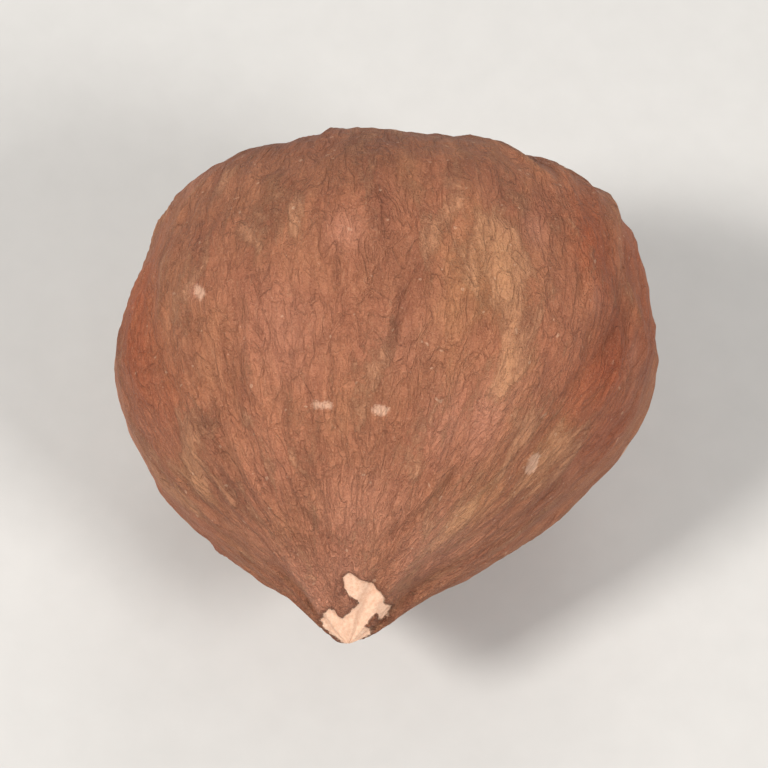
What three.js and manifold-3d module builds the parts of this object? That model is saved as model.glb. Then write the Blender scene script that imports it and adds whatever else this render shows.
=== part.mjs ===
// A shelled hazelnut kernel lying on its side: one seed in its thin brown skin.
// Millimetres, +Z up. The kernel's own axis runs along Y, with the pointed tip towards -Y,
// and the kernel rests on a small flat spot worn on its belly.
//
// The body is a turned profile whose points are then moved by a few formulas. Each formula
// speaks of a point by its height on the kernel's axis (y, 0 at the widest girth) and by its
// angle round that axis (0 degrees on the +X side, 90 degrees on top, 270 degrees underneath).

import * as THREE from "three";
import { mergeVertices } from "three/addons/utils/BufferGeometryUtils.js";
import Module from "manifold-3d";

// Driving dimensions
const WIDTH = 15.1; // across the widest girth, side to side
const THICKNESS = 13.2; // across the same girth, top to bottom
const TIP_LENGTH = 7.7; // from the widest girth to the tip
const BASE_LENGTH = 5.9; // from the widest girth to the blunt end, where the seed was attached
const TIP_LEAN = -1.0; // how far the tip leans sideways
const AXIS_DIP = 6; // degrees that the tip dips, so that the kernel's weight is over its flat spot
const FLAT_DEPTH = 0.25; // how much the flat spot takes off the belly

// The point of the tip and the shallow hollow of the attachment scar, on the axis
const POINT = { height: 0.8, radius: 1.25 };
const SCAR = { depth: 0.3, radius: 1.9 };

// Mesh density: divisions round the kernel, and along each half of the profile
const AROUND = 76;
const ALONG_TIP = 24;
const ALONG_BASE = 20;

const RADIUS = WIDTH / 2;
const DEGREE = Math.PI / 180;

// The section is a little lobed: count of lobes, height as a share of the radius, angle of the first
const LOBES = [
  { count: 3, share: 0.010, first: 60 },
  { count: 5, share: 0.008, first: 20 },
  { count: 7, share: 0.006, first: 50 },
];

// Broad swells (+) and presses (-) that the kernel took from its shell while it grew:
// middle (degrees, mm along), height (mm), half width (degrees) and reach (mm along)
const SWELLS = [
  { angle: 168, along: 2.7, height: -0.4, halfWidth: 26, reach: 2.2 },
  { angle: 138, along: 5.0, height: 0.36, halfWidth: 26, reach: 1.6 },
  { angle: 20, along: 3.4, height: 0.15, halfWidth: 28, reach: 3.0 },
  { angle: 350, along: -2.8, height: 0.22, halfWidth: 30, reach: 2.2 },
  { angle: 196, along: -2.0, height: 0.2, halfWidth: 34, reach: 2.4 },
  { angle: 100, along: 4.6, height: -0.2, halfWidth: 55, reach: 2.4 },
  { angle: 58, along: 0.5, height: 0.16, halfWidth: 13, reach: 4.5 },
  { angle: 300, along: 2.5, height: -0.2, halfWidth: 30, reach: 3.0 },
];

// Furrows that run lengthwise: start and end (mm along), the angle they keep, how far they sway
// (degrees), depth (mm) and half width (mm)
const FURROWS = [
  { angle: 87, from: -2.6, to: 5.0, sway: 4, depth: 0.3, halfWidth: 0.72 },
  { angle: 128, from: -6.0, to: 1.5, sway: 6, depth: 0.14, halfWidth: 0.8 },
  { angle: 152, from: -3.5, to: 4.5, sway: -4, depth: 0.16, halfWidth: 0.75 },
  { angle: 66, from: -7.0, to: -1.0, sway: -5, depth: 0.16, halfWidth: 0.7 },
  { angle: 34, from: -5.0, to: 4.2, sway: 5, depth: 0.2, halfWidth: 0.8 },
  { angle: 2, from: -6.2, to: 2.5, sway: -4, depth: 0.14, halfWidth: 0.8 },
  { angle: 186, from: -5.5, to: 3.8, sway: 5, depth: 0.18, halfWidth: 0.8 },
  { angle: 222, from: -4.0, to: 4.8, sway: -6, depth: 0.15, halfWidth: 0.9 },
  { angle: 318, from: -6.0, to: 3.5, sway: 5, depth: 0.16, halfWidth: 0.9 },
  { angle: 344, from: -2.0, to: 5.0, sway: 3, depth: 0.14, halfWidth: 0.8 },
];

const bell = (distance) => Math.exp(-distance * distance);

// The smallest turn from one angle to another, in radians
function turnBetween(a, b) {
  const turn = a - b;
  return Math.atan2(Math.sin(turn), Math.cos(turn));
}

// Half of the outline, from the tip to the blunt end: two Bezier curves that meet, both
// running straight along the axis, at the widest girth.
function kernelProfile() {
  const tipHalf = new THREE.CubicBezierCurve(
    new THREE.Vector2(0, -TIP_LENGTH),
    new THREE.Vector2(0.36 * RADIUS, -0.9 * TIP_LENGTH),
    new THREE.Vector2(RADIUS, -0.45 * TIP_LENGTH),
    new THREE.Vector2(RADIUS, 0),
  );
  const baseHalf = new THREE.CubicBezierCurve(
    new THREE.Vector2(RADIUS, 0),
    new THREE.Vector2(RADIUS, 0.7 * BASE_LENGTH),
    new THREE.Vector2(0.75 * RADIUS, BASE_LENGTH),
    new THREE.Vector2(0, BASE_LENGTH),
  );
  const tipPoints = tipHalf.getSpacedPoints(ALONG_TIP);
  const basePoints = baseHalf.getSpacedPoints(ALONG_BASE);
  return [...tipPoints, ...basePoints.slice(1)];
}

// How much the lobes and swells stand out of the turned body, in mm
function swellHeight(angle, along, radius) {
  const fullness = radius / RADIUS;
  let height = 0;
  for (const lobe of LOBES) {
    height += lobe.share * radius * fullness * Math.cos(lobe.count * (angle - lobe.first * DEGREE));
  }
  for (const swell of SWELLS) {
    const across = turnBetween(angle, swell.angle * DEGREE) / (swell.halfWidth * DEGREE);
    const lengthwise = (along - swell.along) / swell.reach;
    height += swell.height * fullness * bell(across) * bell(lengthwise);
  }
  return height;
}

// How deep the furrows are at a point, in mm: a bell across each furrow, with its depth rising
// from nothing at one end and falling back to nothing at the other as half a sine wave
function furrowDepth(angle, along, radius) {
  let depth = 0;
  for (const furrow of FURROWS) {
    const progress = (along - furrow.from) / (furrow.to - furrow.from);
    if (progress > 0 && progress < 1) {
      const middle = (furrow.angle + furrow.sway * Math.sin(2 * Math.PI * progress)) * DEGREE;
      const across = (turnBetween(angle, middle) * radius) / furrow.halfWidth;
      depth += furrow.depth * Math.sin(Math.PI * progress) * bell(across);
    }
  }
  return depth;
}

// Move one point of the turned body to its place on the kernel
function shapePoint(point) {
  const radius = Math.hypot(point.x, point.z);
  const angle = Math.atan2(point.z, point.x);
  const along = point.y;
  const height = swellHeight(angle, along, radius) - furrowDepth(angle, along, radius);
  const grown = radius > 0 ? 1 + height / radius : 1;
  const towardsTip = Math.max(0, -along / TIP_LENGTH);
  point.x = point.x * grown + TIP_LEAN * towardsTip * towardsTip;
  point.z = point.z * grown * (THICKNESS / WIDTH);
  if (along < 0) {
    point.y -= POINT.height * bell(radius / POINT.radius);
  } else {
    point.y -= SCAR.depth * bell(radius / SCAR.radius);
  }
  return point;
}

function kernelBody() {
  const lathe = new THREE.LatheGeometry(kernelProfile(), AROUND);
  lathe.deleteAttribute("normal");
  lathe.deleteAttribute("uv");
  const position = lathe.attributes.position;
  const point = new THREE.Vector3();
  for (let i = 0; i < position.count; i += 1) {
    shapePoint(point.fromBufferAttribute(position, i));
    position.setXYZ(i, point.x, point.y, point.z);
  }
  lathe.rotateX(AXIS_DIP * DEGREE);
  return mergeVertices(lathe, 1e-3);
}

const wasm = await Module();
wasm.setup();

function toSolid(geometry) {
  const mesh = new wasm.Mesh({
    numProp: 3,
    vertProperties: Float32Array.from(geometry.attributes.position.array),
    triVerts: Uint32Array.from(geometry.index.array),
  });
  return new wasm.Manifold(mesh);
}

function toGeometry(solid) {
  const mesh = solid.getMesh();
  const geometry = new THREE.BufferGeometry();
  geometry.setAttribute("position", new THREE.BufferAttribute(mesh.vertProperties, 3));
  geometry.setIndex(new THREE.BufferAttribute(mesh.triVerts, 1));
  return geometry;
}

// Cut the flat spot off the belly with a block whose top is FLAT_DEPTH above the lowest point
function cutFlatSpot(body) {
  body.computeBoundingBox();
  const margin = 5;
  const side = 2 * (TIP_LENGTH + BASE_LENGTH);
  const block = new THREE.BoxGeometry(side, side, margin);
  block.translate(0, 0, body.boundingBox.min.z + FLAT_DEPTH - margin / 2);
  block.deleteAttribute("normal");
  block.deleteAttribute("uv");
  const cut = toSolid(body).subtract(toSolid(mergeVertices(block, 1e-3)));
  return mergeVertices(toGeometry(cut), 1e-3);
}

// Put the flat spot on Z = 0 and the middle of the kernel's box over the origin
function restOnOrigin(geometry) {
  geometry.computeBoundingBox();
  const box = geometry.boundingBox;
  const middle = box.getCenter(new THREE.Vector3());
  return geometry.translate(-middle.x, -middle.y, -box.min.z);
}

const kernel = new THREE.Mesh(
  restOnOrigin(cutFlatSpot(kernelBody())),
  new THREE.MeshStandardMaterial({ color: "#a9725a", roughness: 0.62, metalness: 0 }),
);
kernel.name = "kernel";

const hazelnut = new THREE.Group();
hazelnut.add(kernel);

export default hazelnut;
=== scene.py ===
# %% [markdown]
# # A shelled hazelnut kernel
#
# This is the seed of a hazel, taken out of its woody shell and still in its thin brown skin. It
# grew as one piece, so it is one body with one material. Everything that makes it look real is
# in the surface: furrows and veins that run from the blunt end to the tip, skin that is darkened
# by painted shade in its valleys and dusty on its crests, and a few places where the skin has
# chipped off and the cream flesh shows. It could be sculpted by hand, or started from a sphere and
# displaced. Here the whole surface is one formula of two parameters, because then every feature
# has a number that can be read and changed.

import bpy
import numpy as np
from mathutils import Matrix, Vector
from mathutils.bvhtree import BVHTree


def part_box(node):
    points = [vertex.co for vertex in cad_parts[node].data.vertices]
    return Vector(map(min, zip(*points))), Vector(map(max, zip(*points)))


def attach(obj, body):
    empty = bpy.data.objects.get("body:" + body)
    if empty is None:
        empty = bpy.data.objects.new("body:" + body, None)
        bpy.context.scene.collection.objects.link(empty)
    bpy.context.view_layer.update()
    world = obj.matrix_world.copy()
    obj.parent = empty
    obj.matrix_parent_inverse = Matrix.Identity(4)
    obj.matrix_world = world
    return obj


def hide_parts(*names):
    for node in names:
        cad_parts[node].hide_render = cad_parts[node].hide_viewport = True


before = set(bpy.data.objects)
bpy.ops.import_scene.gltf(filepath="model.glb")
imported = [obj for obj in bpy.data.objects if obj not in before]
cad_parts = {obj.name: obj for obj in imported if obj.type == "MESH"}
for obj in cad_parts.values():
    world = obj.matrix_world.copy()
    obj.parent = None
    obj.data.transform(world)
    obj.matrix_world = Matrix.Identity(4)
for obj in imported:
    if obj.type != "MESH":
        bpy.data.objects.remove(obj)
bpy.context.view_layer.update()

cad_low, cad_high = (np.array(corner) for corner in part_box("kernel"))
print("The frame's kernel measures", np.round((cad_high - cad_low) * 1000, 2), "mm")

# %% [markdown]
# ## The two parameters
#
# A point of the surface is named by its angle round the kernel's axis and by how far it is along
# the outline, from the tip to the blunt end. The outline is half of the kernel's side view. It
# could be drawn point by point, but two Bezier curves that meet at the widest girth say the same
# with a handful of numbers. Sizes are in millimetres until the very end.

# %% Driving sizes, in millimetres
MM = 0.001
WIDTH = 15.1
THICKNESS = 13.2
TIP_LENGTH = 7.7
BASE_LENGTH = 5.9
TIP_LEAN = -1.0
AXIS_DIP = np.radians(6)
FLAT_DEPTH = 0.25
POINT_HEIGHT, POINT_RADIUS = 0.8, 1.25
SCAR_DEPTH, SCAR_RADIUS = 0.3, 1.9
RADIUS = WIDTH / 2
COLUMNS = 384
ROWS = 256


# %% The outline, walked in even steps
def bezier(corners, count):
    """Points on a cubic Bezier curve: the four corners, weighted by the cubic terms of 1 - t and t."""
    t = np.linspace(0, 1, count)[:, None]
    start, pull_out, pull_in, end = np.array(corners, float)
    return (1 - t)**3 * start + 3 * (1 - t)**2 * t * pull_out + 3 * (1 - t) * t**2 * pull_in + t**3 * end


def kernel_outline(count):
    """Radius and place along the axis, at even steps of the distance walked from tip to blunt end."""
    tip_half = bezier([(0, -TIP_LENGTH), (0.36 * RADIUS, -0.9 * TIP_LENGTH),
                       (RADIUS, -0.45 * TIP_LENGTH), (RADIUS, 0)], 400)
    base_half = bezier([(RADIUS, 0), (RADIUS, 0.7 * BASE_LENGTH),
                        (0.75 * RADIUS, BASE_LENGTH), (0, BASE_LENGTH)], 400)
    outline = np.vstack([tip_half, base_half[1:]])
    steps = np.linalg.norm(np.diff(outline, axis=0), axis=1)
    walked = np.concatenate([[0], np.cumsum(steps)])
    stops = np.linspace(0, walked[-1], count)
    return np.interp(stops, walked, outline[:, 0]), np.interp(stops, walked, outline[:, 1]), walked[-1]


radius, along, outline_length = kernel_outline(ROWS)
radius = radius[:, None]
along = along[:, None]
angle = (np.arange(COLUMNS) * 2 * np.pi / COLUMNS)[None, :]
print(f"The outline is {outline_length:.1f} mm long, a row every {outline_length / ROWS:.3f} mm")

# %% [markdown]
# ## The large form
#
# A kernel isn't a turned part. It grew inside a shell that pressed it here and let it swell there,
# so its section is a little lobed, its flanks carry broad dents, and shallow furrows run along it.
# The lobes are cosine waves round the section. Each swell, dent and furrow is a bell curve (1 in
# its middle, falling to 0 around it) times a height, and the heights add up. The numbers are the
# same as the design's, so that this fine surface lies on the design's coarse one.

# %% Lobes, swells and furrows
LOBES = [(3, 0.010, 60), (5, 0.008, 20), (7, 0.006, 50)]  # count, share of the radius, first angle

# Middle (degrees, mm along), height in mm, half width in degrees, reach in mm along
SWELLS = [
    (168, 2.7, -0.40, 26, 2.2),
    (138, 5.0, 0.36, 26, 1.6),
    (20, 3.4, 0.15, 28, 3.0),
    (350, -2.8, 0.22, 30, 2.2),
    (196, -2.0, 0.20, 34, 2.4),
    (100, 4.6, -0.20, 55, 2.4),
    (58, 0.5, 0.16, 13, 4.5),
    (300, 2.5, -0.20, 30, 3.0),
]

# Angle, start and end in mm along, sway in degrees, depth and half width in mm
FURROWS = [
    (87, -2.6, 5.0, 4, 0.30, 0.72),
    (128, -6.0, 1.5, 6, 0.14, 0.80),
    (152, -3.5, 4.5, -4, 0.16, 0.75),
    (66, -7.0, -1.0, -5, 0.16, 0.70),
    (34, -5.0, 4.2, 5, 0.20, 0.80),
    (2, -6.2, 2.5, -4, 0.14, 0.80),
    (186, -5.5, 3.8, 5, 0.18, 0.80),
    (222, -4.0, 4.8, -6, 0.15, 0.90),
    (318, -6.0, 3.5, 5, 0.16, 0.90),
    (344, -2.0, 5.0, 3, 0.14, 0.80),
]


def bell(distance):
    """A bump that is 1 at distance 0 and has all but gone at distance 2: e to the minus square."""
    return np.exp(-distance**2)


def turn_between(a, b):
    """The smallest turn from angle b to angle a."""
    return (a - b + np.pi) % (2 * np.pi) - np.pi


def swell_height():
    """Cosine waves round the section, plus a bell over each swell, both fading towards the axis."""
    fullness = radius / RADIUS
    height = np.zeros((ROWS, COLUMNS))
    for count, share, first in LOBES:
        height += share * radius * fullness * np.cos(count * (angle - np.radians(first)))
    for middle, place, tall, half_width, reach in SWELLS:
        across = turn_between(angle, np.radians(middle)) / np.radians(half_width)
        height += tall * fullness * bell(across) * bell((along - place) / reach)
    return height


def furrow_depth():
    """A bell across each furrow, with its depth following half a sine wave from end to end."""
    depth = np.zeros((ROWS, COLUMNS))
    for middle, start, end, sway, deep, half_width in FURROWS:
        progress = np.clip((along - start) / (end - start), 0, 1)
        centre = np.radians(middle + sway * np.sin(2 * np.pi * progress))
        across = turn_between(angle, centre) * radius / half_width
        depth += deep * np.sin(np.pi * progress) * bell(across)
    return depth


def kernel_form():
    """The turned outline, raised by its swells and cut by its furrows, then made thinner than it is
    wide. The tip is drawn out to a point, the blunt end is dimpled, and the tip leans aside with the
    square of the distance towards it."""
    across = radius + swell_height() - furrow_depth()
    towards_tip = np.clip(-along / TIP_LENGTH, 0, None)
    drawn_out = POINT_HEIGHT * bell(radius / POINT_RADIUS)
    dimple = SCAR_DEPTH * bell(radius / SCAR_RADIUS)
    x = across * np.cos(angle) + TIP_LEAN * towards_tip**2
    y = np.broadcast_to(along - np.where(along < 0, drawn_out, dimple), x.shape)
    z = across * np.sin(angle) * THICKNESS / WIDTH
    return np.stack([x, y, z], axis=-1)


form = kernel_form()
print("The large form measures", np.round(np.ptp(form.reshape(-1, 3), axis=0), 2), "mm before it is laid")

# %% [markdown]
# ## Which way is out
#
# The fine relief is raised along the surface's own normal. A normal is the cross product of a
# step along the kernel and a step round it. At the two poles all columns meet and there is no
# step round, so there the normal is set to point along the axis.


# %% Normals of the large form
def unit(vectors):
    """Each vector divided by its length."""
    return vectors / np.maximum(np.linalg.norm(vectors, axis=-1, keepdims=True), 1e-9)


def outward(points):
    """Step along, crossed with step round, scaled to length 1."""
    round_step = np.roll(points, -1, axis=1) - np.roll(points, 1, axis=1)
    along_step = np.gradient(points, axis=0)
    normals = np.cross(along_step, round_step)
    normals[0] = (0, -1, 0)
    normals[-1] = (0, 1, 0)
    return unit(normals)


normals = outward(form)
print("Share of normals that point away from the axis:",
      np.mean(np.sum(normals * form, axis=-1) > 0).round(3))

# %% [markdown]
# ## Noise that closes round the kernel
#
# Real skin is irregular, and noise gives that. A noise image would show a seam where its left
# and right edges meet. This noise lives on a lattice of random slopes laid over angle and
# length, and the lattice wraps round the kernel, so it has no seam. Few cells along and many
# round stretch it lengthwise, as the fibres of the skin are. The seeds are fixed, so that the
# kernel is the same each time.

# %% Lattice noise
share_round = angle / (2 * np.pi)
share_along = np.linspace(0, 1, ROWS)[:, None]


def surface_noise(cells_round, cells_along, seed, drift=0.0):
    """Gradient noise: each lattice corner holds a slope, each point takes the heights that its four
    corners' slopes reach there, and blends them with a smooth S-curve. drift moves the columns."""
    headings = np.random.default_rng(seed).uniform(0, 2 * np.pi, (cells_along + 2, cells_round))
    x = (share_round + drift) * cells_round + np.zeros((ROWS, COLUMNS))
    y = share_along * cells_along + np.zeros((ROWS, COLUMNS))
    column, row = np.floor(x).astype(int), np.floor(y).astype(int)
    right, up = x - column, y - row

    def reach(i, j):
        heading = headings[row + j, (column + i) % cells_round]
        return np.cos(heading) * (right - i) + np.sin(heading) * (up - j)

    def ease(t):
        return t**3 * (t * (6 * t - 15) + 10)

    low = reach(0, 0) * (1 - ease(right)) + reach(1, 0) * ease(right)
    high = reach(0, 1) * (1 - ease(right)) + reach(1, 1) * ease(right)
    return 1.5 * (low * (1 - ease(up)) + high * ease(up))


wander = 0.012 * surface_noise(9, 5, seed=3)
print("Noise runs from", *np.round([wander.min(), wander.max()], 3), "turns of sideways wander")


# %% [markdown]
# ## Fine relief of the skin
#
# Dry skin on a kernel is ribbed lengthwise by the vessels under it. Between the ribs it sinks a
# little, and it crinkles across them. A rib is where a stretched noise passes through zero: such
# places form lines that wander, join and part, as veins do. The ribbing is strong in some patches
# and all but gone in others, because an even one would make the outline look like a cog. All the
# heights are tenths or hundredths of a millimetre, and all of them fade towards the poles. The
# ribs and crinkles fade in step with the radius, because they crowd together as it shrinks, and
# the same height on a narrower rib would be a steeper one.

# %% Ribs, pleats and crinkles
# How far each kind of relief stands out, in mm
LUMP, PLEAT, MAIN_RIB, SIDE_RIB = 0.17, 0.13, 0.11, 0.065
CRINKLE, FINE_CRINKLE = 0.055, 0.020
SUNK = 0.04  # the skin as a whole lies this much lower, which balances the ribs, as they only rise

# The radii within which the lumps, and the ribs and crinkles, begin to fade
LUMPS_FADE, RIBS_FADE = 2.6, 5.5

near_poles = np.minimum(1, radius / LUMPS_FADE)
crowding = np.minimum(1, radius / RIBS_FADE)


def ribs(cells_round, cells_along, sharpness, seed):
    """1 on the lines where the noise is zero, falling to 0 where it is 1 / sharpness or more."""
    return np.clip(1 - sharpness * np.abs(surface_noise(cells_round, cells_along, seed, wander)), 0, 1)


lumps = surface_noise(9, 5, seed=12)
patchy = np.clip(0.65 + 1.3 * surface_noise(6, 4, seed=13), 0.15, 1.4)
pleats = surface_noise(17, 3, seed=11, drift=wander)
main_ribs = ribs(15, 3, 3.6, seed=21)**1.5
side_ribs = ribs(32, 6, 2.8, seed=22)**1.5
crinkles = surface_noise(64, 20, seed=31, drift=wander)
fine_crinkles = surface_noise(120, 56, seed=32)
ribbing = PLEAT * pleats + MAIN_RIB * main_ribs + SIDE_RIB * side_ribs
relief = (near_poles * (LUMP * lumps - SUNK)
          + crowding * (patchy * ribbing + CRINKLE * crinkles + FINE_CRINKLE * fine_crinkles))
print("Relief, in mm:", *np.round([relief.min(), relief.max()], 3))

# %% Single creases that stand out
# Start and end (degrees, mm along), sway in degrees, depth and half width in mm
CREASES = [
    ((91, 2.6), (88, -4.3), 1.2, 0.10, 0.16),
    ((58, -4.4), (78, -6.7), 1.0, 0.09, 0.15),
    ((128, -4.6), (104, -6.8), -1.5, 0.07, 0.15),
    ((146, -3.2), (133, -3.5), 1.0, 0.08, 0.14),
    ((47, 3.2), (44, -2.2), -1.6, 0.05, 0.20),
    ((228, 3.4), (222, -5.6), 2.0, 0.09, 0.18),
    ((290, 4.0), (283, -5.0), -2.2, 0.09, 0.18),
    ((336, 3.6), (342, -4.8), 1.8, 0.08, 0.18),
]


def crease_depth():
    """A narrow bell across each crease, whose angle moves evenly from one end to the other with some
    sway, and whose depth follows half a sine wave."""
    depth = np.zeros((ROWS, COLUMNS))
    for (from_angle, start), (to_angle, end), sway, deep, half_width in CREASES:
        progress = np.clip((along - start) / (end - start), 0, 1)
        centre = from_angle + (to_angle - from_angle) * progress + sway * np.sin(9 * progress)
        across = turn_between(angle + 2 * np.pi * wander, np.radians(centre)) * radius / half_width
        depth += deep * np.sin(np.pi * progress) * bell(across)
    return depth


creased = crease_depth()
print(f"The deepest crease is {creased.max():.2f} mm deep")

# %% [markdown]
# ## Where the skin has chipped off
#
# The skin is a tenth of a millimetre thick and comes off in ragged chips. Each chip is a stroke on
# the surface: a line between two spots, with a half width. A point's distance to the nearest
# stroke's edge is negative inside. Noise pushes that edge in and out. This noise lives in space,
# because the one that wraps round the kernel crowds together at the tip, where most chips are.
# The surface then steps down inside the chip, and the torn rim stands up a little, as a real skin
# edge curls when it dries.

# %% Chips
# Start and end (degrees, mm along), and half width in mm
CHIPS = [
    ((140, -8.0), (50, -8.35), 0.46),
    ((94, -7.1), (62, -7.5), 0.27),
    ((62, -7.5), (26, -7.65), 0.30),
    ((62, -7.7), (90, -8.1), 0.36),
    ((200, 1.1), (203, 1.6), 0.42),
    ((205, 2.1), (211, 1.9), 0.28),
    ((259, -3.4), (254, -2.6), 0.44),
    ((314, 3.4), (320, 3.7), 0.40),
]
SKIN_THICKNESS = 0.09
STEP_WIDTH = 0.12
RIM_HEIGHT, RIM_PLACE, RIM_WIDTH = 0.04, 0.13, 0.10
SMOOTHED = 0.7  # how much of the skin's relief the flesh doesn't have

# Specks where only the outermost film is rubbed off, some of them pale painted glints, in the same terms
SPECKS_AND_GLINTS = [
    ((105.5, -3.45), (102.5, -3.5), 0.12),
    ((90.3, -3.6), (87.7, -3.6), 0.12),
    ((37, -4.15), (35, -4.35), 0.17),
    ((352, -2.3), (350, -2.5), 0.16),
    ((133, 0.1), (132, -0.05), 0.12),
    ((246, 1.4), (244, 1.2), 0.20),
    ((188, -1.6), (186, -1.9), 0.16),
    ((300, -1.0), (301, -1.3), 0.18),
]


def space_noise(cell, seed):
    """Gradient noise in space: each corner of a lattice of cubes holds a direction, and each point
    takes the eight heights that its corners reach there, blended with a smooth S-curve."""
    side = 64
    headings = unit(np.random.default_rng(seed).normal(size=(side, side, side, 3)))
    place = form / cell + side / 2
    corner = np.floor(place).astype(int)
    inside = place - corner
    eased = inside**3 * (inside * (6 * inside - 15) + 10)
    total = np.zeros((ROWS, COLUMNS))
    for step in np.ndindex(2, 2, 2):
        heading = headings[tuple(np.moveaxis((corner + step) % side, -1, 0))]
        weight = np.prod(np.where(step, eased, 1 - eased), axis=-1)
        total += weight * np.sum(heading * (inside - step), axis=-1)
    return 1.5 * total


def spot(middle, place):
    """The point of the large form at that angle which lies nearest to that place on the axis."""
    column = int(round(middle / 360 * COLUMNS)) % COLUMNS
    row = int(np.argmin(np.abs(form[:, column, 1] - place)))
    return form[row, column]


def stroke_distance(start, end, half_width):
    """How far each point is outside a stroke, in mm: its distance from the straight line between the
    stroke's two spots, less the half width, and pushed in or out by noise, less so on a tiny one."""
    a, b = spot(*start), spot(*end)
    share = np.clip((form - a) @ (b - a) / np.dot(b - a, b - a), 0, 1)
    away = np.linalg.norm(form - a - share[..., None] * (b - a), axis=-1)
    return away - half_width + ragged * min(1, half_width / 0.45)


ragged = 0.26 * space_noise(0.80, seed=41) + 0.12 * space_noise(0.30, seed=42)
skin_edge = np.clip(np.min([stroke_distance(*chip) for chip in CHIPS], axis=0), -1, 1)
speck_and_glint_edge = np.clip(np.min([stroke_distance(*speck_and_glint) for speck_and_glint in SPECKS_AND_GLINTS], axis=0), -1, 1)
bare = np.clip(0.5 - skin_edge / STEP_WIDTH, 0, 1)
rim = bell((skin_edge - RIM_PLACE) / RIM_WIDTH) * (0.6 + space_noise(0.8, seed=43))
chip_relief = -SKIN_THICKNESS * bare + RIM_HEIGHT * rim - SMOOTHED * relief * bare
print(f"Bare flesh covers {np.mean(bare) * 100:.1f} percent of the grid")

# %% [markdown]
# ## The scar at the blunt end
#
# The seed was fed through its blunt end, and a round scar is left there, with fibres that run
# outwards from its middle like spokes. It is a sunken disc with a small pit in its middle and a low
# ring wall round it. Noise of many cells round and few along makes spokes so close to the pole. At
# the other end the skin gathers in folds that run into the point, which two cosine waves of the
# angle give.

# %% Scar and tip
DISC_RADIUS = 2.30
DISC_SMOOTHED = 0.7  # how much of the skin's relief the disc doesn't have
DISC_DEPTH, WALL_HEIGHT, SPOKE_HEIGHT, PIT_DEPTH, FOLD_HEIGHT = 0.05, 0.06, 0.06, 0.10, 0.06

on_base = (along > 0).astype(float)
scar_radius = DISC_RADIUS + 0.35 * surface_noise(7, 2, seed=50) + 0.16 * surface_noise(26, 10, seed=54)
scar_disc = on_base * np.clip((scar_radius - radius) / 0.55 + 0.5, 0, 1)
scar_wall = on_base * bell((radius - scar_radius - 0.25) / 0.45)
scar_pit = on_base * bell(radius / 0.5)
spokes = surface_noise(44, 9, seed=51, drift=wander) + 0.5 * surface_noise(88, 20, seed=53)
scar_relief = (WALL_HEIGHT * scar_wall * (1 + surface_noise(11, 4, seed=52)) - PIT_DEPTH * scar_pit
               + scar_disc * (SPOKE_HEIGHT * spokes * np.minimum(1, radius / 1.2) - DISC_DEPTH))
on_tip = 1 - on_base
folds = np.cos(8 * angle + 60 * wander) + 0.6 * np.cos(13 * angle - 80 * wander)
tip_folds = on_tip * bell((radius - 1.7) / 1.1) * FOLD_HEIGHT * folds
height = (relief - creased) * (1 - DISC_SMOOTHED * scar_disc) + chip_relief + scar_relief + tip_folds
points = form + normals * height[..., None]
print("Whole relief, in mm:", *np.round([height.min(), height.max()], 3))

# %% [markdown]
# ## Lay the kernel down
#
# Alone on a table a kernel rolls onto its side, with the tip a little low. The grid is dipped, and
# moved so that its large form, less the flat spot, has the same middle and the same lowest level
# as the frame's box. Whatever is still below that level is pressed flat.


# %% Dip, place and flatten
def dip(points):
    """A turn about the X axis by the dip: y' = y cos - z sin, z' = y sin + z cos."""
    x, y, z = np.moveaxis(points, -1, 0)
    c, s = np.cos(AXIS_DIP), np.sin(AXIS_DIP)
    return np.stack([x, y * c - z * s, y * s + z * c], axis=-1)


laid_form = dip(form)
form_low = laid_form.reshape(-1, 3).min(axis=0) + (0, 0, FLAT_DEPTH)
form_high = laid_form.reshape(-1, 3).max(axis=0)
shift = (cad_low + cad_high) / 2 / MM - (form_low + form_high) / 2
shift[2] = cad_low[2] / MM - form_low[2]
laid = dip(points) + shift
laid[..., 2] = np.maximum(laid[..., 2], cad_low[2] / MM)
print("Moved by", np.round(shift, 2), "mm; the fine kernel measures",
      np.round(np.ptp(laid.reshape(-1, 3), axis=0), 2), "mm")

# %% [markdown]
# ## From grid to mesh
#
# Each cell of the grid is a quad, the last column joins the first, and the rows at the poles
# shrink to one vertex each, closed by a fan of triangles. The corners run along first and then
# round, which makes every face look outwards.

# %% Build the mesh
inner = np.arange(1, ROWS - 1)[:, None]
column = np.arange(COLUMNS)[None, :]
following = (column + 1) % COLUMNS


def number(row, column):
    """The vertex number of a grid place: the tip is 0, then come the inner rows, then the blunt end."""
    return 1 + (row - 1) * COLUMNS + column


low_row, high_row = inner[:-1], inner[1:]
quads = np.stack([number(low_row, column), number(high_row, column),
                  number(high_row, following), number(low_row, following)], axis=-1).reshape(-1, 4)
last = 1 + (ROWS - 2) * COLUMNS
tip_fan = np.stack([number(1, column[0]), number(1, following[0]), np.zeros(COLUMNS, int)], axis=-1)
base_fan = np.stack([number(ROWS - 2, following[0]), number(ROWS - 2, column[0]),
                     np.full(COLUMNS, last)], axis=-1)


def per_vertex(grid):
    """A grid's values in vertex order, with each pole row's mean for the pole's one vertex."""
    ends = grid[[0, -1]].mean(axis=1)
    return np.concatenate([ends[:1], grid[1:-1].reshape(-1, *grid.shape[2:]), ends[1:]])


mesh = bpy.data.meshes.new("hazelnut_kernel")
faces = quads.tolist() + tip_fan.tolist() + base_fan.tolist()
mesh.from_pydata((per_vertex(laid) * MM).tolist(), [], faces)
mesh.polygons.foreach_set("use_smooth", np.ones(len(mesh.polygons), bool))
kernel = bpy.data.objects.new("hazelnut_kernel", mesh)
bpy.context.scene.collection.objects.link(kernel)
print(len(mesh.vertices), "vertices,", 2 * len(quads) + 2 * COLUMNS, "triangles")

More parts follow.
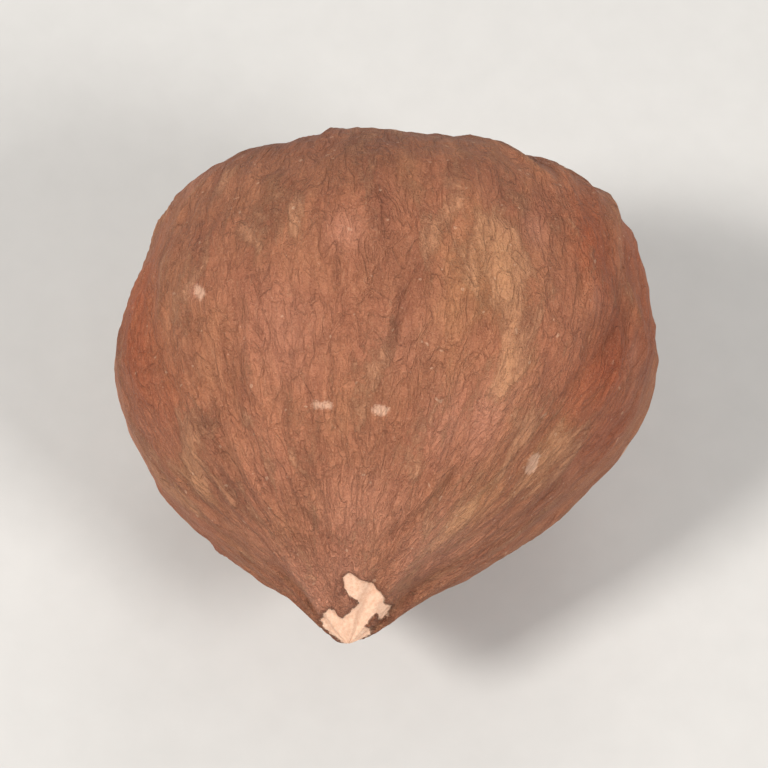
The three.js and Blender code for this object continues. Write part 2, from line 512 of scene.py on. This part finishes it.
# %% How close the fine surface lies to the design's
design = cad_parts["kernel"]
triangles = design.data
triangles.calc_loop_triangles()
tree = BVHTree.FromPolygons([v.co for v in triangles.vertices],
                            [t.vertices for t in triangles.loop_triangles])
distances = [tree.find_nearest(Vector(p))[3] / MM for p in per_vertex(laid)[::97] * MM]
print(f"Distance from the design: mean {np.mean(distances):.3f} mm, most {np.max(distances):.3f} mm")

# %% [markdown]
# ## What the material needs to know
#
# Some colour follows the form: dust lies on the crests, the furrows and creases are darkened by
# painted shade, the top and the flanks carry painted shade, the flanks are redder, pale pink
# patches are partly painted highlights and painted light, and a tan band runs beside the middle
# furrow. Those are worked out on the grid and stored as attributes of the vertices. The last
# attribute is the skin's own map: a place in space that grows with the angle and the length rather
# than with where the kernel lies, so that a pattern read at it runs lengthwise from pole to pole
# and has no seam.

# %% Soft patches of colour, painted light and painted shade
# Middle (degrees, mm along), half width in degrees, reach in mm along, strength
TAN_PATCHES = [
    (70, 0.0, 15, 2.6, 0.9), (58, -2.4, 12, 2.2, 0.5), (84, 3.0, 9, 1.6, 0.6), (60, 2.8, 10, 1.6, 0.5),
    (70, 4.3, 9, 1.2, 0.4), (44, -5.4, 13, 1.0, 0.9), (35, -4.2, 12, 1.4, 0.8), (153, -4.4, 10, 1.0, 0.5),
    (118, 2.8, 4, 1.6, 0.4), (232, 0.5, 12, 3.4, 0.8), (285, -2.0, 14, 3.0, 0.6), (196, 3.0, 9, 1.8, 0.6),
    (345, -0.5, 9, 3.0, 0.6),
]
# Red patches: the flanks' own red, with painted shade where the flanks fall into shade
RED_AND_SHADE_PATCHES = [
    (40, 1.6, 8, 1.8, 0.9), (33, -1.5, 9, 1.8, 1.0), (15, -2.8, 9, 1.2, 0.8), (16, 1.0, 12, 2.6, 0.7),
    (156, 0.0, 9, 2.6, 0.9), (150, -2.2, 6, 0.9, 0.5), (250, 2.6, 18, 2.6, 0.8),
    (305, -3.5, 18, 2.6, 0.7), (205, -4.2, 16, 2.2, 0.6), (33, -4.0, 10, 1.2, 0.3),
]
# Pale pink patches: the skin's own pink, painted highlights on the middle and the flanks, and painted
# light on the shaded flanks by the tip
PINK_AND_PAINTED_LIGHT_PATCHES = [
    (99, 1.1, 4, 0.6, 0.7), (59, -3.5, 6, 1.0, 0.8), (42, 0.0, 2.5, 0.4, 0.8), (59, 1.6, 3, 0.5, 0.7),
    (133, 0.1, 2, 0.3, 0.9), (24, -0.9, 3, 0.3, 0.8), (112, -1.6, 9, 1.4, 0.5), (88, -2.1, 8, 1.0, 0.3),
    (71, -3.8, 7, 0.9, 0.6), (92, -5.9, 24, 1.0, 0.6), (130, -7.2, 24, 0.8, 1.0),
    (98, -7.0, 22, 0.5, 1.0), (148, -6.2, 16, 0.9, 0.3), (48, -6.3, 20, 0.9, 0.8),
    (126, -4.9, 14, 1.2, 0.2), (262, 0.6, 9, 1.8, 0.7), (180, -2.0, 10, 1.6, 0.5),
    (318, 0.4, 9, 1.8, 0.6),
]
# Dark patches: a few small dark marks, painted shade along the middle furrow, and painted shade on the
# top and on both flanks
DARK_MARK_AND_SHADE_PATCHES = [
    (141, -3.3, 5, 0.35, 0.8), (103, -2.0, 1.6, 0.25, 0.6), (107, -7.1, 8, 0.2, 0.8),
    (120, 5.0, 30, 1.2, 0.9), (60, 5.2, 28, 0.9, 0.7), (98, 4.0, 34, 1.4, 0.8), (91, 1.8, 3, 1.8, 0.7),
    (12, -4.6, 12, 1.0, 0.3), (130, 2.2, 18, 2.0, 0.4), (141, -4.8, 14, 1.2, 0.6),
    (90, 0.4, 7, 1.0, 0.35), (34, -0.5, 8, 1.4, 0.7), (62, 3.1, 14, 1.2, 0.5), (72, 1.2, 8, 0.8, 0.25),
    (125, -0.3, 12, 1.4, 0.25), (166, -1.6, 10, 2.4, 0.55), (14, -1.2, 12, 2.6, 0.55),
]


def soft_patches(patches):
    """The strongest of the patches at each point, each a bell round its middle."""
    cover = np.zeros((ROWS, COLUMNS))
    for middle, place, half_width, reach, strength in patches:
        across = turn_between(angle + 2 * np.pi * wander, np.radians(middle)) / np.radians(half_width)
        cover = np.maximum(cover, strength * bell(across) * bell((along - place) / reach))
    return cover


def skin_map():
    """(cos, length, sin): the angle on a circle that keeps its size along the kernel and closes over
    the poles, so that a lengthwise pattern doesn't crowd into a point there."""
    circle = RADIUS * np.tanh(radius / 1.8)
    length = share_along * outline_length + np.zeros((ROWS, COLUMNS))
    return np.stack([circle * np.cos(angle), length, circle * np.sin(angle)], axis=-1)


# %% Store the attributes
# Heights and depths that count as a full crest or valley, in mm, and the level between the two
CREST, FURROW, FOLD, CREASE = 0.15, 0.22, 0.16, 0.14
LEVEL = 0.02

crest = (relief - LEVEL) / CREST - furrow_depth() / FURROW + tip_folds / FOLD + scar_disc * spokes
numbers = {
    "skin_edge": skin_edge,
    "speck_and_glint_edge": speck_and_glint_edge,
    "tan": soft_patches(TAN_PATCHES),
    # red, with painted shade on the flanks
    "red": soft_patches(RED_AND_SHADE_PATCHES),
    # pale pink, partly painted highlights and painted light
    "pink_and_painted_light": soft_patches(PINK_AND_PAINTED_LIGHT_PATCHES),
    # dark marks, with painted shade on the top, the flanks and in the creases
    "dark_marks_and_shade": np.maximum(soft_patches(DARK_MARK_AND_SHADE_PATCHES), creased / CREASE),
    "crest": crest,
    "scar": scar_disc,
    "scar_rim": np.maximum(on_base * bell((radius - scar_radius) / 0.30), scar_pit),
    "rib": np.maximum(main_ribs, 0.7 * side_ribs) * near_poles,
}
for name, grid in numbers.items():
    values = per_vertex(np.broadcast_to(grid, (ROWS, COLUMNS)))
    mesh.attributes.new(name, "FLOAT", "POINT").data.foreach_set("value", values.astype(np.float32))
mesh.attributes.new("skin_map", "FLOAT_VECTOR", "POINT").data.foreach_set(
    "vector", per_vertex(skin_map()).astype(np.float32).ravel())
print("Attributes:", ", ".join([*numbers, "skin_map"]))

# %% [markdown]
# ## Node trees as sums
#
# A material is a tree of nodes, and wiring it by hand hides the idea. Here a wire that carries a
# number can be added, multiplied or compared like a number, and each such step makes one Math
# node. Every other kind of node comes from one method, which takes the node's type, its
# settings and what goes into its sockets.


# %% Wire and Bench
class Wire:
    """One output of a node, which can be used in sums."""

    def __init__(self, bench, socket):
        self.bench = bench
        self.socket = socket

    def sum_node(self, operation, first, second):
        return self.bench.node("ShaderNodeMath", {"operation": operation}, {0: first, 1: second})

    def __add__(self, other):
        return self.sum_node("ADD", self, other)

    def __sub__(self, other):
        return self.sum_node("SUBTRACT", self, other)

    def __rsub__(self, other):
        return self.sum_node("SUBTRACT", other, self)

    def __mul__(self, other):
        return self.sum_node("MULTIPLY", self, other)

    def __abs__(self):
        return self.sum_node("ABSOLUTE", self, 0.0)

    __radd__ = __add__

    def between(self, low, high):
        """0 where the wire is low, 1 where it is high, and a smooth S-curve in between."""
        return self.bench.node("ShaderNodeMapRange", {"interpolation_type": "SMOOTHSTEP"},
                               {"Value": self, "From Min": low, "From Max": high})


class Bench:
    """A new material, and the one method that puts nodes in its tree."""

    def __init__(self, name):
        self.material = bpy.data.materials.new(name)
        self.material.use_nodes = True
        self.tree = self.material.node_tree
        self.tree.nodes.clear()

    def node(self, kind, settings=None, inputs=None, output=0):
        made = self.tree.nodes.new(kind)
        for name, value in (settings or {}).items():
            setattr(made, name, value)
        for key, value in (inputs or {}).items():
            if isinstance(value, Wire):
                self.tree.links.new(value.socket, made.inputs[key])
            else:
                made.inputs[key].default_value = value
        return Wire(self, made.outputs[output]) if made.outputs else None

    def attribute(self, name, output="Fac"):
        return self.node("ShaderNodeAttribute", {"attribute_name": name}, output=output)

    def stretch(self, vector, scale):
        return self.node("ShaderNodeVectorMath", {"operation": "MULTIPLY"}, {0: vector, 1: scale})

    def noise(self, vector, scale, detail, roughness=0.55, distortion=0.0):
        return self.node("ShaderNodeTexNoise", inputs={
            "Vector": vector, "Scale": scale, "Detail": detail,
            "Roughness": roughness, "Distortion": distortion})

    def blend(self, factor, first, second):
        """The first colour where the factor is 0, the second where it is 1."""
        return self.node("ShaderNodeMix", {"data_type": "RGBA"}, {0: factor, 6: first, 7: second}, 2)


def paint(red, green, blue):
    """A paint chip's numbers, 0 to 255, as the light that a shader works with: for c from 0 to 1,
    ((c + 0.055) / 1.055)^2.4, or c / 12.92 where it is nearly black."""
    chip = np.array([red, green, blue]) / 255
    light = np.where(chip < 0.04045, chip / 12.92, ((chip + 0.055) / 1.055)**2.4)
    return (*light.tolist(), 1.0)


# %% [markdown]
# ## Skin and flesh
#
# The skin is matt and fibrous. Its colour is built up in layers: a mid brown, streaked
# lengthwise by fibres, darkened by painted shade in the valleys, creases and wrinkles, on the top
# and on the flanks, darker on the veins, paler where a dusty bloom lies on the crests, redder on
# the flanks, with painted highlights and painted light in pale pink patches. Then comes the flesh
# where the skin is gone, cut out by the distance to the skin's edge with some finer noise on it,
# and a painted shadow along the torn edge. The scar and the rubbed specks have colours of their
# own, and some of the specks and of the dust are painted glints. One surface shader takes it all,
# with a little light carried under the surface.

# %% Patterns on the skin
skin = Bench("kernel_skin")
where = skin.attribute("skin_map", "Vector")
place = skin.stretch(skin.node("ShaderNodeTexCoord", output="Object"), (1 / MM, 1 / MM, 1 / MM))
lengthwise = skin.stretch(where, (1.0, 0.20, 1.0))
drawn = skin.stretch(where, (1.0, 0.45, 1.0))
tint = skin.noise(where, 0.33, detail=3.0, roughness=0.5)
blotch = skin.noise(drawn, 1.1, detail=5.0, roughness=0.55, distortion=0.4)
fibre = skin.noise(lengthwise, 2.1, detail=8.0, roughness=0.62, distortion=0.25)
thread = skin.noise(lengthwise, 8.0, detail=5.0, roughness=0.6)
mottle = skin.noise(drawn, 0.8, detail=8.0, roughness=0.62, distortion=0.5)
grain = skin.noise(place, 9.0, detail=6.0, roughness=0.68)
fleck = skin.noise(drawn, 4.2, detail=4.0, roughness=0.7)
suede = skin.noise(place, 22.0, detail=4.0, roughness=0.7)
ripple = skin.noise(skin.stretch(where, (1.0, 1.5, 1.0)), 2.6, detail=5.0, roughness=0.6, distortion=0.6)


def creases(vector, scale, width, distortion):
    """Thin lines, 1 on the line: where a noise crosses its middle value."""
    crossing = abs(skin.noise(vector, scale, detail=3.0, roughness=0.5, distortion=distortion) - 0.5)
    return 1 - crossing.between(0.0, width)


vein = creases(lengthwise, 1.05, 0.050, 0.35)
# The wrinkle lines darken the skin along its wrinkles: painted shade
wrinkle = creases(drawn, 1.7, 0.055, 0.9)
fine_wrinkle = creases(drawn, 4.6, 0.070, 0.8)

# %% Skin colour, with painted shade and painted highlights
tan = skin.attribute("tan")
red = skin.attribute("red")
dark_marks_and_shade = skin.attribute("dark_marks_and_shade")
crest = skin.attribute("crest")
rib = skin.attribute("rib")
scar = skin.attribute("scar")
scar_rim = skin.attribute("scar_rim")
pink_and_painted_light = skin.attribute("pink_and_painted_light")
residue = mottle + tan * 0.16 - red * 0.10 + crest * 0.04 + rib * 0.06 + (grain - 0.5) * 0.25
residue = residue.between(0.56, 0.66)
bloom = tan * 0.9 + (mottle - 0.5) + (fibre - 0.5) * 0.45 + crest * 0.10 + rib * 0.2
bloom = bloom.between(0.20, 1.1)
# Painted shade: darker in the valleys and furrows, on the top and on the flanks, with some fibre tone and
# a few dark marks in it
valley_shade_and_marks = (0.26 - crest * 0.13 + (0.5 - fibre) * 0.45 + dark_marks_and_shade * 1.05).between(0.15, 1.3)


def coats(colour, layers):
    """The colour with each coat laid over the last: where it lies, how well it covers, its paint."""
    for mask, cover, shade in layers:
        colour = skin.blend(mask * cover, colour, paint(*shade))
    return colour


colour = skin.blend(blotch.between(0.30, 0.70), paint(152, 92, 63), paint(180, 118, 83))
colour = coats(colour, [
    (fibre.between(0.30, 0.72), 0.28, (186, 126, 92)),
    (tint.between(0.35, 0.65), 0.40, (178, 108, 80)),
    # pale pink, partly painted highlights and painted light
    (pink_and_painted_light, 0.80, (208, 142, 114)),
    # red on the flanks, with painted shade in it
    (red * mottle.between(0.10, 0.50), 0.85, (166, 76, 36)),
    (bloom, 0.72, (200, 142, 94)),
    (residue, 0.42, (204, 152, 116)),
    # painted shade in the valleys, furrows and creases, on the top and on the flanks
    (valley_shade_and_marks, 0.48, (104, 56, 38)),
    (vein, 0.16, (96, 50, 34)),
    # painted shade along the wrinkles, coarse and fine
    (wrinkle, 0.12, (92, 48, 34)),
    (fine_wrinkle, 0.09, (96, 50, 36)),
    (thread.between(0.58, 0.74), 0.18, (210, 162, 126)),
    (fleck.between(0.62, 0.72), 0.26, (92, 48, 34)),
])

# %% Scar, suede nap, dust and painted glints, and specks
scar_cover = (scar + (grain - 0.5) * 0.9).between(0.20, 0.80)
scar_fibres = (0.5 + (grain - 0.5) * 2.0 + crest * 0.25).between(0.0, 1.0)
scar_colour = skin.blend(scar_fibres, paint(168, 112, 80), paint(222, 172, 136))
colour = skin.blend(scar_cover * 0.80, colour, scar_colour)
# Pale dots all over: dust, and painted glints
dust_and_glints = skin.noise(place, 5.5, detail=0.0).between(0.80, 0.84)
# Pale specks: rubbed film, and some painted glints
speck_and_glint = 1 - (skin.attribute("speck_and_glint_edge") + (grain - 0.5) * 0.3).between(-0.06, 0.06)
colour = coats(colour, [
    (scar_rim * mottle.between(0.35, 0.60), 0.50, (98, 56, 40)),
    ((0.5 - suede).between(0.02, 0.16), 0.34, (92, 48, 34)),
    ((suede - 0.5).between(0.02, 0.16), 0.22, (222, 170, 134)),
    (dust_and_glints, 0.35, (226, 186, 156)),
    (speck_and_glint, 0.70, (232, 186, 158)),
])

# %% Flesh colour and the painted shadow along the torn edge
edge = skin.attribute("skin_edge") + (grain - 0.5) * 0.22
flesh_colour = skin.blend(grain.between(0.3, 0.7), paint(214, 168, 140), paint(234, 198, 172))
flesh_colour = skin.blend((suede - 0.5).between(0.0, 0.2) * 0.25, flesh_colour, paint(196, 142, 112))
covered = edge.between(-0.03, 0.02)
# A dark band on the skin just outside a chip: painted shadow along the torn edge
torn_edge_shadow = covered * (1 - edge.between(0.02, 0.16))
colour = skin.blend(torn_edge_shadow * 0.45, colour, paint(104, 60, 44))
colour = skin.blend(covered, flesh_colour, colour)

# %% Roughness and the finest relief
SKIN_ROUGHNESS, FLESH_ROUGHNESS = 0.63, 0.46
BUMP_HEIGHT = 0.14 * MM
skin_roughness = SKIN_ROUGHNESS + (grain - 0.5) * 0.25 + bloom * 0.12 + residue * 0.10
roughness = skin_roughness * covered + (1 - covered) * FLESH_ROUGHNESS
skin_height = (fibre * 0.50 + thread * 0.16 + grain * 0.34 + ripple * 0.50 + suede * 0.10 + residue * 0.24
               - vein * 0.22 - wrinkle * 0.34 - fine_wrinkle * 0.18 - fleck.between(0.60, 0.76) * 0.20)
heights = skin_height * covered + grain * 0.1
bump = skin.node("ShaderNodeBump", inputs={"Height": heights, "Strength": 1.0, "Distance": BUMP_HEIGHT})
surface = skin.node("ShaderNodeBsdfPrincipled", inputs={
    "Base Color": colour, "Roughness": roughness, "Normal": bump,
    "Specular IOR Level": 0.38, "Subsurface Weight": 0.10, "Subsurface Scale": 0.5 * MM,
    "Subsurface Radius": (1.0, 0.55, 0.35)})
skin.node("ShaderNodeOutputMaterial", inputs={"Surface": surface})
mesh.materials.append(skin.material)
print("The skin's material has", len(skin.tree.nodes), "nodes")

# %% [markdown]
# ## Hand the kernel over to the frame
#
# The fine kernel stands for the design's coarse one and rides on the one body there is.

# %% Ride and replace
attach(kernel, "root")
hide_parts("kernel")

# %% [markdown]
# ## Studio
#
# A small thing wants a small studio: lamps of 5 to 12 centimetres, about a quarter of a metre away,
# give the soft shadows that a window gives a table. The floor is a plain pale sheet. The camera
# looks down from well above through a long lens, which keeps the near end from looking swollen. It
# is aimed a little past the kernel's middle, which puts the outline in the middle of the picture.

# %% Floor
FLOOR_SIZE = 4.0
floor_mesh = bpy.data.meshes.new("floor")
half = FLOOR_SIZE / 2
floor_corners = [(-half, -half, 0), (half, -half, 0), (half, half, 0), (-half, half, 0)]
floor_mesh.from_pydata(floor_corners, [], [(0, 1, 2, 3)])
floor = bpy.data.objects.new("floor", floor_mesh)
bpy.context.scene.collection.objects.link(floor)
paper = Bench("floor_paper")
paper_grain = paper.noise(paper.node("ShaderNodeTexCoord", output="Object"), 900.0, detail=3.0)
paper_colour = paper.blend(paper_grain, paint(200, 199, 197), paint(207, 206, 204))
sheet = paper.node("ShaderNodeBsdfPrincipled", inputs={"Base Color": paper_colour, "Roughness": 0.9})
paper.node("ShaderNodeOutputMaterial", inputs={"Surface": sheet})
floor_mesh.materials.append(paper.material)


# %% Lamps and sky
LIT = Vector((0, 0, 6 * MM))


def lamp(name, place, size, power, tint):
    """A square lamp that faces the kernel."""
    data = bpy.data.lights.new(name, "AREA")
    data.size = size
    data.energy = power
    data.color = tint
    made = bpy.data.objects.new(name, data)
    made.location = place
    made.rotation_euler = (LIT - Vector(place)).to_track_quat("-Z", "Y").to_euler()
    bpy.context.scene.collection.objects.link(made)


lamp("key", (-0.14, -0.06, 0.19), 0.055, 0.45, (1.0, 0.97, 0.93))
lamp("fill", (0.15, -0.12, 0.17), 0.08, 0.385, (1.0, 0.98, 0.95))
lamp("rim", (0.04, 0.20, 0.12), 0.12, 0.13, (1.0, 0.98, 0.95))
world = bpy.data.worlds.new("sky")
world.use_nodes = True
sky = world.node_tree.nodes["Background"]
sky.inputs["Color"].default_value = (0.95, 0.94, 0.93, 1.0)
sky.inputs["Strength"].default_value = 0.34
bpy.context.scene.world = world
bpy.context.scene.view_settings.view_transform = "Standard"

# %% Camera
ELEVATION = np.radians(62)
LENS = 200.0
SENSOR = 36.0
FRAME_WIDTH = 21.5 * MM
PAST_MIDDLE = 0.4 * MM
camera_data = bpy.data.cameras.new("camera")
camera_data.lens = LENS
camera_data.sensor_width = SENSOR
camera_data.clip_start = 0.01
camera_data.clip_end = 50.0
camera = bpy.data.objects.new("camera", camera_data)
bpy.context.scene.collection.objects.link(camera)
middle = (Vector(cad_low) + Vector(cad_high)) / 2 + Vector((0, PAST_MIDDLE, 0))
back = Vector((0, -np.cos(ELEVATION), np.sin(ELEVATION)))
camera.location = middle + back * (FRAME_WIDTH * LENS / SENSOR)
camera.rotation_euler = (-back).to_track_quat("-Z", "Y").to_euler()
bpy.context.scene.camera = camera
print("The camera is", round((camera.location - middle).length * 100, 1), "cm from the kernel")
